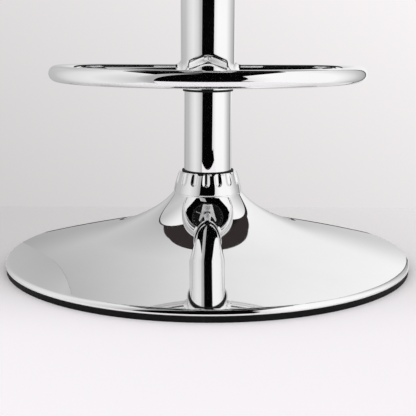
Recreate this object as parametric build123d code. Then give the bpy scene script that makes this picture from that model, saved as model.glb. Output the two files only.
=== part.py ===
from build123d import *
import math
import os

# A height-adjustable swivel bar stool: a chrome trumpet base, a gas-lift column with a footrest, and a
# padded round seat. Millimetres, +Z up, origin on the floor under the column, footrest towards -Y.

# Clearances
FIT = 0.05
PIN_RUN = 0.06
SLIDE_GAP = 0.35
SEAT_GAP = 0.3

# Base shell and rubber ring
BASE_RADIUS = 210.0
BASE_HEIGHT = 76.6
BASE_SHEET = 1.5
NECK_RADIUS = 35.8
NECK_ROUND = 0.8
NECK_SLOPE = 53.8
NECK_REACH = 25.8
CONE_SLOPE = 13.0
CONE_LENGTH = 88.8
CONE_REACH = 28.2
RIM_ROLL = 4.5
RIM_LIP_ROUND = 1.2
RIM_LIP = 11.0
RING_FOOT = 5.7
RING_WIDTH = 17.0
RING_INSET = 0.8
RING_LIP_TOP = 2.2
RING_TOP_WIDTH = 11.0

# Base inside
SOCKET_WALL = 4.0
SOCKET_FOOT_Z = 14.0
BRACE_THICKNESS = 4.0
BRACE_Z = 36.0

# Fluted collar and the rubber seal in its top
COLLAR_HEIGHT = 21.6
COLLAR_RADIUS = 35.2
COLLAR_BAND = 1.6
COLLAR_SHOULDER_RADIUS = 30.4
COLLAR_SHOULDER_DROP = 1.6
COLLAR_BULGE = 0.4
COLLAR_TOP_RADIUS = 28.6
FLUTES = 16
FLUTE_RADIUS = 5.0
FLUTE_DEPTH = 1.7
FLUTE_FOOT = 11.3
FLUTE_TURN = -2.8
SEAL_RADIUS = 26.8
SEAL_HEIGHT = 3.0
SEAL_PROUD = 1.0

# Lower tube
LOWER_TUBE_RADIUS = 24.6
LOWER_TUBE_WALL = 2.0
LOWER_TUBE_LENGTH = 414.0
LOWER_TUBE_FOOT_Z = 16.0
TAPER_INSET = 0.8
END_PLATE_THICKNESS = 4.0
END_PLATE_RISE = 4.0
GUIDE_BUSH_LENGTH = 80.0
GUIDE_FLANGE = 3.0

# Thrust bearing and rod end
RACE_THICKNESS = 2.5
RACE_RADIUS = 13.0
BALL_RADIUS = 2.5
BALL_CIRCLE = 9.0
BALLS = 8
CAGE_THICKNESS = 2.0
CAGE_EDGE = 3.4
BALL_POCKET_GAP = 0.15
WASHER_THICKNESS = 1.6
WASHER_RADIUS = 9.0
CLIP_THICKNESS = 1.2
CLIP_RADIUS = 7.0
CLIP_GROOVE = 0.9
CLIP_MOUTH = 5.0
ROD_TAIL = 2.0
BUMPER_LENGTH = 24.0
BUMPER_RADIUS = 12.0

# Gas lift
ROD_RADIUS = 5.0
ROD_END_RADIUS = 4.0
ROD_LENGTH = 283.0
PISTON_LENGTH = 14.0
PISTON_STUD_RADIUS = 3.5
PRESSURE_TUBE_RADIUS = 14.0
PRESSURE_TUBE_WALL = 2.0
PRESSURE_TUBE_LENGTH = 430.0
PRESSURE_TUBE_CROWN = 6.0
NOSE_RISE = 14.0
NOSE_LENGTH = 40.0
NOSE_INSET = 0.6
ROD_GUIDE_LENGTH = 22.0
BUTTON_RADIUS = 3.0
BUTTON_RISE = 7.0
BUTTON_DOME = 1.0
BUTTON_FLANGE_RADIUS = 5.0
BUTTON_FLANGE = 3.0

# Upper tube, its bush and the footrest
UPPER_TUBE_RADIUS = 28.1
UPPER_TUBE_WALL = 1.5
UPPER_TUBE_LENGTH = 383.0
UPPER_TUBE_FOOT_Z = 183.2
BUSH_LENGTH = 30.0
BUSH_LIP = 2.5
BUSH_LIP_RADIUS = 25.8
FOOTREST_TUBE_RADIUS = 7.6
FOOTREST_WALL = 1.5
FOOTREST_HALF_WIDTH = 146.0
FOOTREST_REACH = 213.0
FOOTREST_CORNER = 45.0
FOOTREST_FRONT_RADIUS = 125.0
FOOTREST_BAR_RISE = 17.0
FOOTREST_TILT = 1.5
WELD_LENGTH = 5.5
WELD_THROAT = 4.5
WELD_HOLLOW = 1.0

# Seat mechanism, drawn with the lever towards +X and then turned to the lever's side
SOCKET_SLEEVE_WALL = 3.5
SOCKET_SLEEVE_LENGTH = 36.0
SOCKET_SLEEVE_RISE = 8.0
HOUSING_HEIGHT = 42.5
HOUSING_SHEET = 2.5
HOUSING_BACK = 31.0
HOUSING_FRONT = 37.0
HOUSING_HALF_WIDTH = 32.0
PLATE_WIDTH = 156.0
PLATE_DEPTH = 236.0
PLATE_FORWARD = 25.0
PLATE_THICKNESS = 2.5
PLATE_CORNER = 14.0
LEVER_SIDE = Rot(0, 0, 180)
PIVOT_X = 20.0
PIN_RADIUS = 3.0
PIN_HEAD_RADIUS = 5.0
PIN_HEAD = 2.0
LEVER_HUB_RADIUS = 6.5
LEVER_HUB_WIDTH = 16.0
LEVER_TONGUE_WIDTH = 12.0
LEVER_TONGUE_THICKNESS = 4.0
LEVER_TONGUE_OVERHANG = 6.0
LEVER_ROD_RADIUS = 4.0
LEVER_LENGTH = 158.0
LEVER_DROOP = 9.0
LEVER_TRAVEL = 8.0
LEVER_SLOT_GAP = 2.0
LEVER_PLAY = 0.5
GRIP_RADIUS = 6.5
GRIP_LENGTH = 46.0
GRIP_END = 3.0

# Seat fasteners
SCREW_SPACING = 110.0
SCREW_RADIUS = 2.95
SCREW_HEAD_RADIUS = 5.5
SCREW_HEAD = 3.6
SCREW_DRIVE_RADIUS = 2.0
SCREW_DRIVE_DEPTH = 2.0
SCREW_WASHER_RADIUS = 8.0
SCREW_WASHER = 1.2
SCREW_HOLE_GAP = 0.35
TEE_NUT_FLANGE_RADIUS = 9.0
TEE_NUT_FLANGE = 1.5
TEE_NUT_BARREL_RADIUS = 4.0
TEE_NUT_BARREL = 8.0

# Padded seat
BOARD_RADIUS = 165.0
BOARD_THICKNESS = 12.0
DUST_COVER_THICKNESS = 1.0
DUST_COVER_RADIUS = 171.0
CUSHION_HEIGHT = 78.0
CUSHION_RADIUS = 186.0
CUSHION_FOOT_RADIUS = 178.0
CUSHION_FOOT_ROUND = 5.0
SEAM_RADIUS = 180.0
SEAM_HEIGHT = 56.0
PIPING_RADIUS = 3.2

# Heights worked out from the sizes above
COLLAR_TOP_Z = BASE_HEIGHT + COLLAR_HEIGHT
SEAL_TOP_Z = COLLAR_TOP_Z + SEAL_PROUD
SEAL_Z = SEAL_TOP_Z - SEAL_HEIGHT
LOWER_TUBE_TOP_Z = LOWER_TUBE_FOOT_Z + LOWER_TUBE_LENGTH
END_PLATE_Z = LOWER_TUBE_FOOT_Z + END_PLATE_RISE
LOWER_RACE_Z = END_PLATE_Z + END_PLATE_THICKNESS
BALL_Z = LOWER_RACE_Z + RACE_THICKNESS + SEAT_GAP + BALL_RADIUS
UPPER_RACE_Z = BALL_Z + BALL_RADIUS + SEAT_GAP
ROD_SHOULDER_Z = UPPER_RACE_Z + RACE_THICKNESS
WASHER_Z = END_PLATE_Z - SEAT_GAP - WASHER_THICKNESS
CLIP_Z = WASHER_Z - CLIP_THICKNESS
PISTON_Z = ROD_SHOULDER_Z + ROD_LENGTH
HOUSING_Z = UPPER_TUBE_FOOT_Z + UPPER_TUBE_LENGTH
PLATE_Z = HOUSING_Z + HOUSING_HEIGHT
DUST_COVER_Z = PLATE_Z + PLATE_THICKNESS
BOARD_Z = DUST_COVER_Z + DUST_COVER_THICKNESS
BOARD_TOP_Z = BOARD_Z + BOARD_THICKNESS
SEAT_TOP_Z = BOARD_Z + CUSHION_HEIGHT
SEAM_Z = BOARD_Z + SEAM_HEIGHT
NOSE_TOP_Z = HOUSING_Z + NOSE_RISE
PRESSURE_TUBE_Z = NOSE_TOP_Z - PRESSURE_TUBE_LENGTH
BUTTON_TOP_Z = NOSE_TOP_Z + BUTTON_RISE
TONGUE_Z = BUTTON_TOP_Z + LEVER_PLAY
PIVOT_Z = TONGUE_Z + LEVER_TONGUE_THICKNESS / 2
FOOTREST_Z = UPPER_TUBE_FOOT_Z + FOOTREST_BAR_RISE


def turned(*edges):
    """A solid of revolution about Z from a closed outline drawn in radius and height."""
    outline = make_face(edges)
    return revolve(Plane.XZ * outline, Axis.Z)


def turned_polygon(*points):
    """A solid of revolution about Z from straight lines between radius and height points."""
    return turned(Polyline(*points, close=True))


def sleeve(outer_radius, inner_radius, low, high):
    return turned_polygon(
        (inner_radius, low),
        (outer_radius, low),
        (outer_radius, high),
        (inner_radius, high),
    )


def rod(radius, low, high):
    return Pos(0, 0, (low + high) / 2) * Cylinder(radius, high - low)


def box_between(low, high):
    size = [high[i] - low[i] for i in range(3)]
    middle = [(high[i] + low[i]) / 2 for i in range(3)]
    return Pos(*middle) * Box(*size)


def direction(angle):
    """A unit step outwards and down, at an angle below level."""
    return Vector(math.cos(math.radians(angle)), -math.sin(math.radians(angle)))


def trumpet(inset):
    """The flare from the neck and the cone down to the rim's roll, both set inwards by an inset."""
    neck_way = direction(NECK_SLOPE)
    cone_way = direction(CONE_SLOPE)
    neck = Vector(NECK_RADIUS, BASE_HEIGHT - NECK_ROUND)
    neck = neck + Vector(neck_way.Y, -neck_way.X) * inset
    # The cone ends where a roll that is upright at the full radius takes over
    cone_end = Vector(BASE_RADIUS - RIM_ROLL, RING_FOOT + RIM_LIP_ROUND)
    cone_end = cone_end + Vector(-cone_way.Y, cone_way.X) * RIM_ROLL
    cone_end = cone_end + Vector(cone_way.Y, -cone_way.X) * inset
    cone_top = cone_end - cone_way * CONE_LENGTH
    flare = Bezier(neck, neck + neck_way * NECK_REACH, cone_top - cone_way * CONE_REACH, cone_top)
    return flare, Line(cone_top, cone_end)


def base_shell():
    outer_flare, outer_cone = trumpet(0)
    inner_flare, inner_cone = trumpet(BASE_SHEET)
    inner_neck = inner_flare @ 0
    tube_hole = LOWER_TUBE_RADIUS + FIT
    neck_corner = (NECK_RADIUS - NECK_ROUND, BASE_HEIGHT)
    rim_side = (BASE_RADIUS, RING_FOOT + RIM_LIP_ROUND)
    lip_outer = (BASE_RADIUS - RIM_LIP_ROUND, RING_FOOT)
    lip_end = BASE_RADIUS - RIM_LIP
    lip_top = RING_FOOT + BASE_SHEET
    lip_corner = (BASE_RADIUS - RIM_ROLL, lip_top)
    under_neck = BASE_HEIGHT - BASE_SHEET
    return turned(
        Polyline((tube_hole, under_neck), (tube_hole, BASE_HEIGHT), neck_corner),
        TangentArc(neck_corner, outer_flare @ 0, tangent=(1, 0)),
        outer_flare,
        outer_cone,
        TangentArc(outer_cone @ 1, rim_side, tangent=outer_cone % 1),
        TangentArc(rim_side, lip_outer, tangent=(0, -1)),
        Polyline(lip_outer, (lip_end, RING_FOOT), (lip_end, lip_top), lip_corner, inner_cone @ 1),
        inner_cone,
        inner_flare,
        Polyline(inner_neck, (inner_neck.X, under_neck), (tube_hole, under_neck)),
    )


def base_edge_ring():
    foot_outer = BASE_RADIUS - RING_INSET
    back = foot_outer - RING_WIDTH
    slot_end = BASE_RADIUS - RIM_LIP - FIT
    slot_top = RING_FOOT + BASE_SHEET + FIT
    return turned_polygon(
        (back, 0),
        (foot_outer, 0),
        (foot_outer, RING_FOOT),
        (slot_end, RING_FOOT),
        (slot_end, slot_top),
        (back + RING_TOP_WIDTH, slot_top),
        (back + RING_TOP_WIDTH, slot_top + RING_LIP_TOP),
        (back, slot_top + RING_LIP_TOP),
    )


def taper_radius(height):
    """The lower tube's outer radius: drawn in towards its foot, full above the base."""
    share = min(1, (height - LOWER_TUBE_FOOT_Z) / (BASE_HEIGHT - LOWER_TUBE_FOOT_Z))
    return LOWER_TUBE_RADIUS - TAPER_INSET * (1 - share)


def column_socket():
    top = BASE_HEIGHT - BASE_SHEET
    outer = LOWER_TUBE_RADIUS + SOCKET_WALL
    return turned_polygon(
        (taper_radius(SOCKET_FOOT_Z) + FIT, SOCKET_FOOT_Z),
        (outer, SOCKET_FOOT_Z),
        (outer, top),
        (taper_radius(top) + FIT, top),
    )


def shell_inner_radius(height):
    """Where the shell's inside stands at a height above its cone, found by halving along the flare."""
    flare, _cone = trumpet(BASE_SHEET)
    low = 0.0
    high = 1.0
    for _ in range(40):
        middle = (low + high) / 2
        if (flare @ middle).Y > height:
            low = middle
        else:
            high = middle
    return (flare @ low).X


def base_brace():
    top = BRACE_Z + BRACE_THICKNESS
    hole = LOWER_TUBE_RADIUS + SOCKET_WALL + FIT
    return turned_polygon(
        (hole, BRACE_Z),
        (shell_inner_radius(BRACE_Z) - SEAT_GAP, BRACE_Z),
        (shell_inner_radius(top) - SEAT_GAP, top),
        (hole, top),
    )


def outward_step(start, end):
    """A unit step to the right of the way from start to end, which is outwards on a rising side."""
    way = end - start
    return Vector(way.Y, -way.X).normalized()


def column_collar():
    bore = LOWER_TUBE_RADIUS + FIT
    recess = SEAL_RADIUS + FIT
    band_corner = Vector(COLLAR_RADIUS, BASE_HEIGHT + COLLAR_BAND)
    shoulder = Vector(COLLAR_SHOULDER_RADIUS, COLLAR_TOP_Z - COLLAR_SHOULDER_DROP)
    outwards = outward_step(band_corner, shoulder)
    side_middle = (band_corner + shoulder) / 2 + outwards * COLLAR_BULGE
    body = turned(
        Polyline((recess, SEAL_Z), (bore, SEAL_Z), (bore, BASE_HEIGHT)),
        Polyline((bore, BASE_HEIGHT), (COLLAR_RADIUS, BASE_HEIGHT), band_corner),
        ThreePointArc(band_corner, side_middle, shoulder),
        Polyline(shoulder, (COLLAR_TOP_RADIUS, COLLAR_TOP_Z), (recess, COLLAR_TOP_Z), (recess, SEAL_Z)),
    )
    # Each flute is a round-footed groove that runs up the leaning side and out at its top
    scoop = Pos(0, 0, COLLAR_HEIGHT / 2) * Cylinder(FLUTE_RADIUS, COLLAR_HEIGHT) + Sphere(FLUTE_RADIUS)
    side_way = (shoulder - band_corner).normalized()
    foot = band_corner + side_way * FLUTE_FOOT + outwards * (COLLAR_BULGE + FLUTE_RADIUS - FLUTE_DEPTH)
    lean = math.degrees(math.atan2(-side_way.X, side_way.Y))
    leaning = Pos(foot.X, 0, foot.Y) * Rot(0, -lean, 0) * scoop
    cutters = [Rot(0, 0, -90 + FLUTE_TURN + turn * 360 / FLUTES) * leaning for turn in range(FLUTES)]
    return body - cutters


def column_seal():
    return sleeve(SEAL_RADIUS, LOWER_TUBE_RADIUS + FIT, SEAL_Z, SEAL_TOP_Z)


def lower_tube():
    foot = taper_radius(LOWER_TUBE_FOOT_Z)
    wall = LOWER_TUBE_WALL
    return turned_polygon(
        (foot - wall, LOWER_TUBE_FOOT_Z),
        (foot, LOWER_TUBE_FOOT_Z),
        (LOWER_TUBE_RADIUS, BASE_HEIGHT),
        (LOWER_TUBE_RADIUS, LOWER_TUBE_TOP_Z),
        (LOWER_TUBE_RADIUS - wall, LOWER_TUBE_TOP_Z),
        (LOWER_TUBE_RADIUS - wall, BASE_HEIGHT),
    )


def tube_end_plate():
    bore = ROD_END_RADIUS + SLIDE_GAP
    radius = taper_radius(END_PLATE_Z) - LOWER_TUBE_WALL - FIT
    return sleeve(radius, bore, END_PLATE_Z, LOWER_RACE_Z)


def guide_bush():
    bore = PRESSURE_TUBE_RADIUS + SLIDE_GAP
    body_radius = LOWER_TUBE_RADIUS - LOWER_TUBE_WALL - FIT
    top = LOWER_TUBE_TOP_Z + GUIDE_FLANGE
    return turned_polygon(
        (bore, LOWER_TUBE_TOP_Z - GUIDE_BUSH_LENGTH),
        (body_radius, LOWER_TUBE_TOP_Z - GUIDE_BUSH_LENGTH),
        (body_radius, LOWER_TUBE_TOP_Z),
        (LOWER_TUBE_RADIUS, LOWER_TUBE_TOP_Z),
        (LOWER_TUBE_RADIUS, top),
        (bore, top),
    )


def lower_race():
    return sleeve(RACE_RADIUS, ROD_END_RADIUS + SLIDE_GAP, LOWER_RACE_Z, LOWER_RACE_Z + RACE_THICKNESS)


def upper_race():
    return sleeve(RACE_RADIUS, ROD_END_RADIUS + FIT, UPPER_RACE_Z, ROD_SHOULDER_Z)


def ball_places():
    return PolarLocations(BALL_CIRCLE, BALLS)


def bearing_balls():
    return [Pos(0, 0, BALL_Z) * place * Sphere(BALL_RADIUS) for place in ball_places()]


def bearing_cage():
    low = BALL_Z - CAGE_THICKNESS / 2
    high = BALL_Z + CAGE_THICKNESS / 2
    ring = sleeve(BALL_CIRCLE + CAGE_EDGE, BALL_CIRCLE - CAGE_EDGE, low, high)
    pocket = Cylinder(BALL_RADIUS + BALL_POCKET_GAP, 2 * CAGE_THICKNESS)
    return ring - [Pos(0, 0, BALL_Z) * place * pocket for place in ball_places()]


def rubber_bumper():
    return sleeve(BUMPER_RADIUS, ROD_RADIUS + FIT, ROD_SHOULDER_Z, ROD_SHOULDER_Z + BUMPER_LENGTH)


def clip_washer():
    return sleeve(WASHER_RADIUS, ROD_END_RADIUS + FIT, WASHER_Z, WASHER_Z + WASHER_THICKNESS)


def retaining_clip():
    ring = sleeve(CLIP_RADIUS, ROD_END_RADIUS - CLIP_GROOVE + FIT, CLIP_Z, WASHER_Z)
    mouth = box_between((0, -CLIP_MOUTH / 2, CLIP_Z), (CLIP_RADIUS, CLIP_MOUTH / 2, WASHER_Z))
    return ring - mouth


def piston_rod():
    groove = ROD_END_RADIUS - CLIP_GROOVE
    return turned_polygon(
        (0, CLIP_Z - ROD_TAIL),
        (ROD_END_RADIUS, CLIP_Z - ROD_TAIL),
        (ROD_END_RADIUS, CLIP_Z),
        (groove, CLIP_Z),
        (groove, WASHER_Z),
        (ROD_END_RADIUS, WASHER_Z),
        (ROD_END_RADIUS, ROD_SHOULDER_Z),
        (ROD_RADIUS, ROD_SHOULDER_Z),
        (ROD_RADIUS, PISTON_Z),
        (PISTON_STUD_RADIUS, PISTON_Z),
        (PISTON_STUD_RADIUS, PISTON_Z + PISTON_LENGTH),
        (0, PISTON_Z + PISTON_LENGTH),
    )


def piston():
    radius = PRESSURE_TUBE_RADIUS - PRESSURE_TUBE_WALL - SLIDE_GAP
    return sleeve(radius, PISTON_STUD_RADIUS + FIT, PISTON_Z, PISTON_Z + PISTON_LENGTH)


def nose_radius(height):
    """The pressure tube's outer radius: drawn in over its nose, full below it."""
    share = max(0, 1 - (NOSE_TOP_Z - height) / NOSE_LENGTH)
    return PRESSURE_TUBE_RADIUS - NOSE_INSET * share


def pressure_tube():
    bore = PRESSURE_TUBE_RADIUS - PRESSURE_TUBE_WALL
    button_hole = BUTTON_RADIUS + SLIDE_GAP
    crown = NOSE_TOP_Z - PRESSURE_TUBE_CROWN
    return turned_polygon(
        (bore, PRESSURE_TUBE_Z),
        (PRESSURE_TUBE_RADIUS, PRESSURE_TUBE_Z),
        (PRESSURE_TUBE_RADIUS, NOSE_TOP_Z - NOSE_LENGTH),
        (nose_radius(NOSE_TOP_Z), NOSE_TOP_Z),
        (button_hole, NOSE_TOP_Z),
        (button_hole, crown),
        (bore, crown),
    )


def rod_guide():
    radius = PRESSURE_TUBE_RADIUS - PRESSURE_TUBE_WALL - FIT
    return sleeve(radius, ROD_RADIUS + SLIDE_GAP, PRESSURE_TUBE_Z, PRESSURE_TUBE_Z + ROD_GUIDE_LENGTH)


def valve_button():
    """The release pin, flanged inside the tube and domed where the lever presses it."""
    flange_top = NOSE_TOP_Z - PRESSURE_TUBE_CROWN - SEAT_GAP
    flange_foot = flange_top - BUTTON_FLANGE
    top = (0, BUTTON_TOP_Z)
    dome_edge = (BUTTON_RADIUS, BUTTON_TOP_Z - BUTTON_DOME)
    return turned(
        TangentArc(top, dome_edge, tangent=(1, 0)),
        Polyline(
            dome_edge,
            (BUTTON_RADIUS, flange_top),
            (BUTTON_FLANGE_RADIUS, flange_top),
            (BUTTON_FLANGE_RADIUS, flange_foot),
            (0, flange_foot),
            top,
        ),
    )


def upper_tube():
    return sleeve(UPPER_TUBE_RADIUS, UPPER_TUBE_RADIUS - UPPER_TUBE_WALL, UPPER_TUBE_FOOT_Z, HOUSING_Z)


def upper_tube_bush():
    bore = LOWER_TUBE_RADIUS + SLIDE_GAP
    body_radius = UPPER_TUBE_RADIUS - UPPER_TUBE_WALL - FIT
    lip_z = UPPER_TUBE_FOOT_Z - BUSH_LIP
    return turned_polygon(
        (bore, lip_z),
        (BUSH_LIP_RADIUS, lip_z),
        (BUSH_LIP_RADIUS, UPPER_TUBE_FOOT_Z),
        (body_radius, UPPER_TUBE_FOOT_Z),
        (body_radius, UPPER_TUBE_FOOT_Z + BUSH_LENGTH),
        (bore, UPPER_TUBE_FOOT_Z + BUSH_LENGTH),
    )


def footrest_path():
    """The loop's centre line in plan: half the back bar, a corner, a side arc, the front arc, and back."""
    width = FOOTREST_HALF_WIDTH
    corner = FOOTREST_CORNER
    front = FOOTREST_FRONT_RADIUS
    drop = FOOTREST_REACH - front - corner
    side = (width**2 + drop**2 - front**2) / (2 * (width - front))
    side_centre = Vector(width - side, -corner)
    front_centre = Vector(0, front - FOOTREST_REACH)
    meeting = side_centre + (front_centre - side_centre).normalized() * side
    corner_start = Vector(width - corner, 0)
    corner_end = Vector(width, -corner)
    mirrored = Vector(-meeting.X, meeting.Y)
    bar = Line((0, 0), corner_start)
    bend = TangentArc(corner_start, corner_end, tangent=(1, 0))
    side_arc = TangentArc(corner_end, meeting, tangent=(0, -1))
    front_arc = ThreePointArc(meeting, (0, -FOOTREST_REACH), mirrored)
    left = [edge.mirror(Plane.YZ) for edge in (side_arc, bend, bar)]
    return Wire([bar, bend, side_arc, front_arc] + left)


def footrest_place():
    """The loop's plane, which rises a little towards the front, at the height of the back bar."""
    return Pos(0, 0, FOOTREST_Z) * Rot(-FOOTREST_TILT, 0, 0)


def column_cut():
    """What the footrest and its welds leave free for the upper tube."""
    return rod(UPPER_TUBE_RADIUS + FIT, 0, SEAT_TOP_Z)


def footrest_loop():
    path = footrest_path()
    section = Circle(FOOTREST_TUBE_RADIUS) - Circle(FOOTREST_TUBE_RADIUS - FOOTREST_WALL)
    loop = sweep(Plane.YZ * section, path)
    return footrest_place() * loop - column_cut()


def footrest_welds():
    """A hollow-faced bead round each end of the back bar, thickest at the upper tube."""
    bore = FOOTREST_TUBE_RADIUS + FIT
    thick_end = Vector(bore + WELD_THROAT, UPPER_TUBE_RADIUS)
    thin_end = Vector(bore + FIT, UPPER_TUBE_RADIUS + WELD_LENGTH)
    face_middle = (thick_end + thin_end) / 2 - outward_step(thick_end, thin_end) * WELD_HOLLOW
    bead = turned(
        Polyline(thin_end, (bore, thin_end.Y), (bore, 0), (thick_end.X, 0), thick_end),
        ThreePointArc(thick_end, face_middle, thin_end),
    )
    return [footrest_place() * Rot(0, side * 90, 0) * bead - column_cut() for side in (1, -1)]


def plate_socket():
    low = HOUSING_Z + SOCKET_SLEEVE_RISE - SOCKET_SLEEVE_LENGTH
    high = HOUSING_Z + SOCKET_SLEEVE_RISE
    outer = PRESSURE_TUBE_RADIUS + SOCKET_SLEEVE_WALL
    nose_foot = NOSE_TOP_Z - NOSE_LENGTH
    return turned_polygon(
        (nose_radius(low) + FIT, low),
        (outer, low),
        (outer, high),
        (nose_radius(high) + FIT, high),
        (nose_radius(max(low, nose_foot)) + FIT, max(low, nose_foot)),
    )


def lever_axis():
    """The lever rod's line at rest: from the pivot outwards, drooping."""
    return Pos(PIVOT_X, 0, PIVOT_Z) * Rot(0, LEVER_DROOP, 0)


def mechanism_housing():
    sheet = HOUSING_SHEET
    half = HOUSING_HALF_WIDTH
    outer = box_between((-HOUSING_BACK, -half, HOUSING_Z), (HOUSING_FRONT, half, PLATE_Z))
    inner = box_between(
        (sheet - HOUSING_BACK, sheet - half, HOUSING_Z + sheet),
        (HOUSING_FRONT - sheet, half - sheet, PLATE_Z),
    )
    socket_hole = rod(PRESSURE_TUBE_RADIUS + SOCKET_SLEEVE_WALL + FIT, HOUSING_Z, HOUSING_Z + sheet)
    pin_hole = Pos(PIVOT_X, 0, PIVOT_Z) * Rot(90, 0, 0) * Cylinder(PIN_RADIUS + FIT, 2 * half)
    # The slot lets the lever's rod swing from its rest to its lifted place
    wall_distance = HOUSING_FRONT - PIVOT_X
    slot_low = PIVOT_Z - wall_distance * math.tan(math.radians(LEVER_DROOP))
    slot_high = PIVOT_Z - wall_distance * math.tan(math.radians(LEVER_DROOP - LEVER_TRAVEL))
    reach = LEVER_ROD_RADIUS + LEVER_SLOT_GAP
    slot = box_between(
        (HOUSING_FRONT - sheet, -reach, slot_low - reach),
        (HOUSING_FRONT, reach, slot_high + reach),
    )
    return LEVER_SIDE * (outer - inner - socket_hole - pin_hole - slot)


def screw_places():
    return GridLocations(SCREW_SPACING, SCREW_SPACING, 2, 2)


def screw_holes(radius, low, high):
    return [place * rod(radius, low, high) for place in screw_places()]


def seat_plate():
    plate = extrude(RectangleRounded(PLATE_WIDTH, PLATE_DEPTH, PLATE_CORNER), PLATE_THICKNESS)
    placed = Pos(0, -PLATE_FORWARD, PLATE_Z) * plate
    return placed - screw_holes(SCREW_RADIUS + SCREW_HOLE_GAP, PLATE_Z, DUST_COVER_Z)


def lever():
    hub = Rot(90, 0, 0) * Cylinder(LEVER_HUB_RADIUS, LEVER_HUB_WIDTH)
    tongue = box_between(
        (-PIVOT_X - LEVER_TONGUE_OVERHANG, -LEVER_TONGUE_WIDTH / 2, -LEVER_TONGUE_THICKNESS / 2),
        (0, LEVER_TONGUE_WIDTH / 2, LEVER_TONGUE_THICKNESS / 2),
    )
    arm = Rot(0, LEVER_DROOP, 0) * Rot(0, 90, 0) * rod(LEVER_ROD_RADIUS, 0, LEVER_LENGTH)
    bore = Rot(90, 0, 0) * Cylinder(PIN_RADIUS + PIN_RUN, LEVER_HUB_WIDTH)
    return LEVER_SIDE * Pos(PIVOT_X, 0, PIVOT_Z) * (hub + tongue + arm - bore)


def lever_grip():
    end = LEVER_LENGTH + GRIP_END
    sleeve_start = end - GRIP_LENGTH
    body = rod(GRIP_RADIUS, sleeve_start, end)
    rounded = fillet(body.edges().group_by(Axis.Z)[-1], GRIP_RADIUS - LEVER_ROD_RADIUS)
    hollow = rounded - rod(LEVER_ROD_RADIUS + FIT, sleeve_start, LEVER_LENGTH + FIT)
    return LEVER_SIDE * lever_axis() * Rot(0, 90, 0) * hollow


def lever_pin():
    half = HOUSING_HALF_WIDTH
    shaft = Cylinder(PIN_RADIUS, 2 * half)
    head = Cylinder(PIN_HEAD_RADIUS, PIN_HEAD)
    reach = half + PIN_HEAD / 2
    pin = shaft + Pos(0, 0, reach) * head + Pos(0, 0, -reach) * head
    return LEVER_SIDE * Pos(PIVOT_X, 0, PIVOT_Z) * Rot(90, 0, 0) * pin


def seat_screws():
    under_washer = PLATE_Z - SCREW_WASHER
    head_z = under_washer - SCREW_HEAD
    head = rod(SCREW_HEAD_RADIUS, head_z, under_washer)
    drive = extrude(RegularPolygon(SCREW_DRIVE_RADIUS, 6), SCREW_DRIVE_DEPTH)
    shank = rod(SCREW_RADIUS, under_washer, BOARD_TOP_Z)
    screw = head - Pos(0, 0, head_z) * drive + shank
    return [place * screw for place in screw_places()]


def screw_washers():
    hole = SCREW_RADIUS + SCREW_HOLE_GAP
    washer = sleeve(SCREW_WASHER_RADIUS, hole, PLATE_Z - SCREW_WASHER, PLATE_Z)
    return [place * washer for place in screw_places()]


def tee_nuts():
    bore = SCREW_RADIUS + FIT
    nut = turned_polygon(
        (bore, BOARD_TOP_Z - TEE_NUT_BARREL),
        (TEE_NUT_BARREL_RADIUS, BOARD_TOP_Z - TEE_NUT_BARREL),
        (TEE_NUT_BARREL_RADIUS, BOARD_TOP_Z - TEE_NUT_FLANGE),
        (TEE_NUT_FLANGE_RADIUS, BOARD_TOP_Z - TEE_NUT_FLANGE),
        (TEE_NUT_FLANGE_RADIUS, BOARD_TOP_Z),
        (bore, BOARD_TOP_Z),
    )
    return [place * nut for place in screw_places()]


def seat_board():
    board = rod(BOARD_RADIUS, BOARD_Z, BOARD_TOP_Z)
    holes = screw_holes(TEE_NUT_BARREL_RADIUS + FIT, BOARD_Z, BOARD_TOP_Z)
    recesses = screw_holes(TEE_NUT_FLANGE_RADIUS + FIT, BOARD_TOP_Z - TEE_NUT_FLANGE, BOARD_TOP_Z)
    return board - holes - recesses


def dust_cover():
    cover = rod(DUST_COVER_RADIUS, DUST_COVER_Z, BOARD_Z)
    return cover - screw_holes(SCREW_RADIUS + SCREW_HOLE_GAP, DUST_COVER_Z, BOARD_Z)


def cushion_outline():
    """The cushion's outside in radius and height: foot, bulging side, a groove for the piping, crown."""
    foot = Vector(CUSHION_FOOT_RADIUS - CUSHION_FOOT_ROUND, BOARD_Z)
    side_foot = Vector(CUSHION_FOOT_RADIUS, BOARD_Z + CUSHION_FOOT_ROUND)
    seam = Vector(SEAM_RADIUS, SEAM_Z)
    groove = PIPING_RADIUS + FIT
    groove_low = seam - Vector(0, groove)
    groove_high = seam - Vector(groove, 0)
    groove_middle = seam - Vector(1, 1).normalized() * groove
    side_middle = Vector(CUSHION_RADIUS, (side_foot.Y + groove_low.Y) / 2)
    return [
        TangentArc(foot, side_foot, tangent=(1, 0)),
        ThreePointArc(side_foot, side_middle, groove_low),
        ThreePointArc(groove_low, groove_middle, groove_high),
        TangentArc((0, SEAT_TOP_Z), groove_high, tangent=(1, 0)),
    ]


def seat_cushion():
    """Foam in its cover, hollowed underneath for the board."""
    hollow = BOARD_RADIUS + SEAT_GAP
    foot = CUSHION_FOOT_RADIUS - CUSHION_FOOT_ROUND
    return turned(
        *cushion_outline(),
        Polyline(
            (0, SEAT_TOP_Z),
            (0, BOARD_TOP_Z + SEAT_GAP),
            (hollow, BOARD_TOP_Z + SEAT_GAP),
            (hollow, BOARD_Z),
            (foot, BOARD_Z),
        ),
    )


def seat_piping():
    return Pos(0, 0, SEAM_Z) * Torus(SEAM_RADIUS, PIPING_RADIUS)


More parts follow.
